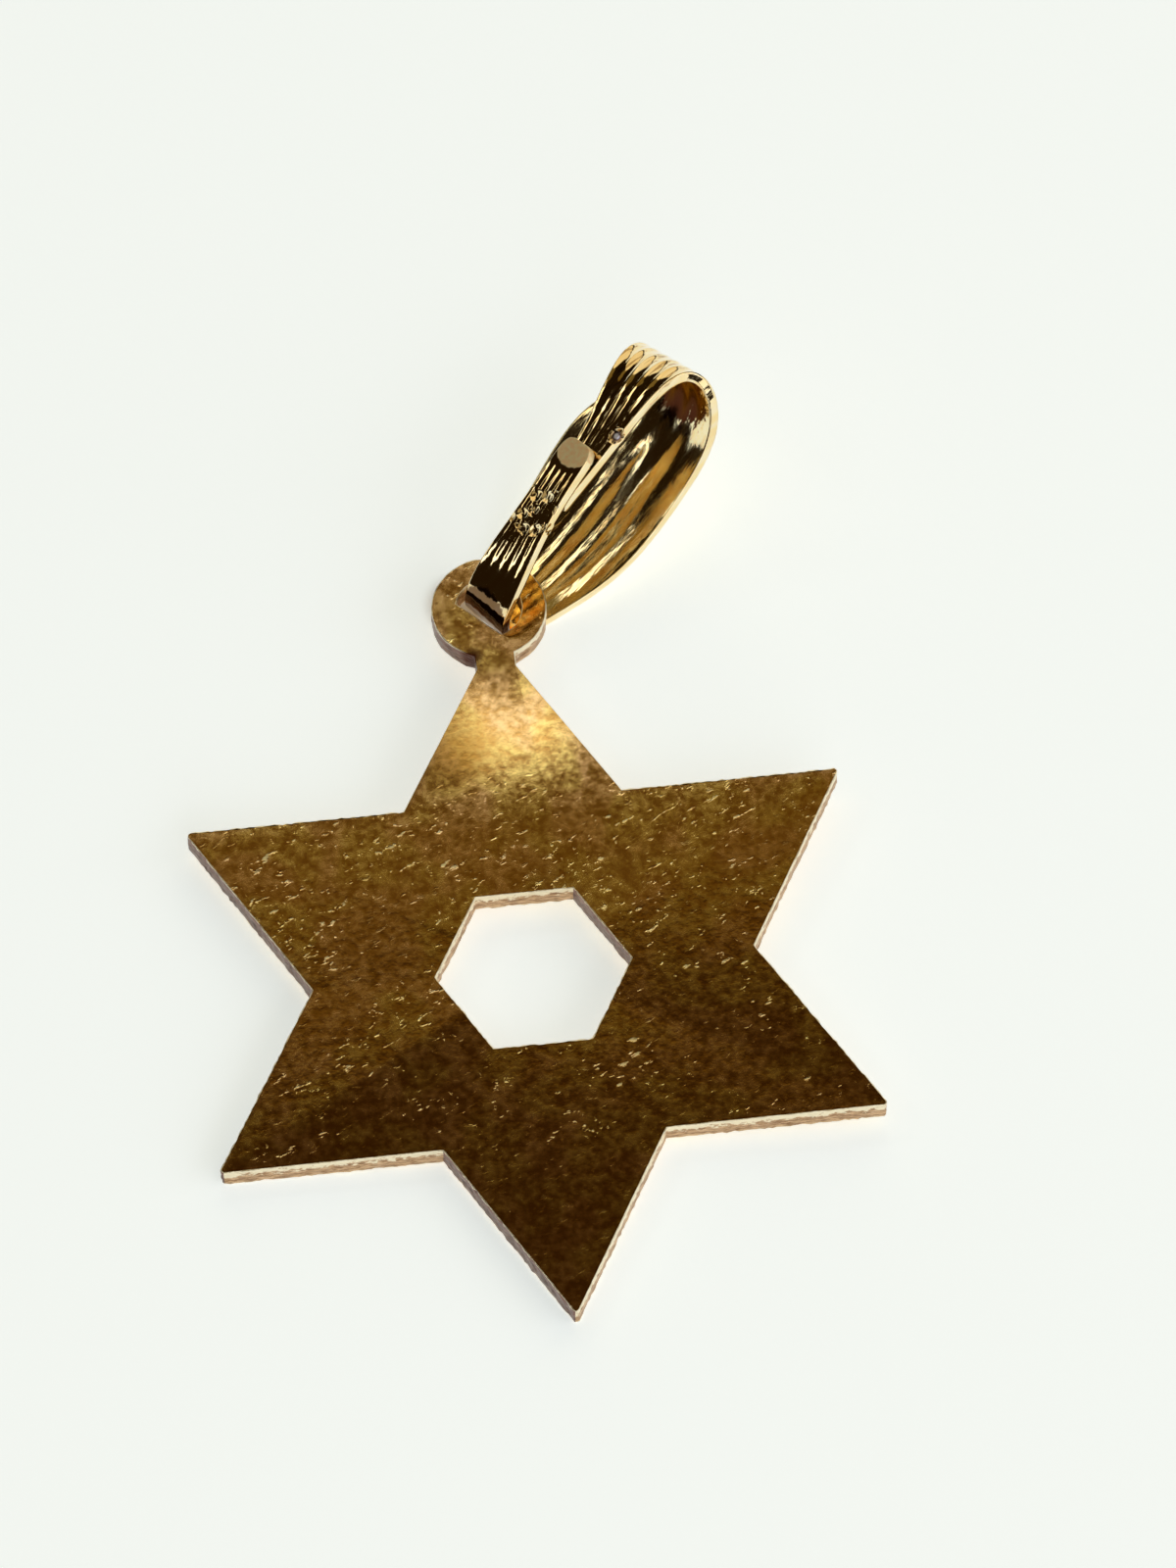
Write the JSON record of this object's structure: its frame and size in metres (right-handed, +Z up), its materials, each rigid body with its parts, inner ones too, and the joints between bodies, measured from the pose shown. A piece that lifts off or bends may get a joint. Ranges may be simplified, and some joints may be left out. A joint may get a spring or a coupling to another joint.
{
  "type": "star of david pendant",
  "caption": "Flat six-pointed star pendant with an open middle and a round eye, lying flat with a folded fluted bail hooked through the eye.",
  "frame": {"origin": "on the surface that the pendant lies on, under the middle of its box", "axes": "+Y from the star to its top tip and eye, +X to the star's right seen from above, +Z up from the surface"},
  "size_m": [0.018, 0.0286, 0.0055],
  "materials": {
    "worn_gold": "hazy, scratched and pitted gold, rough on the sawn edges",
    "bright_gold": "polished gold with worn ridges"
  },
  "bodies": {
    "root": {"star_plate": "worn_gold", "bail": "bright_gold"}
  },
  "joints": []
}
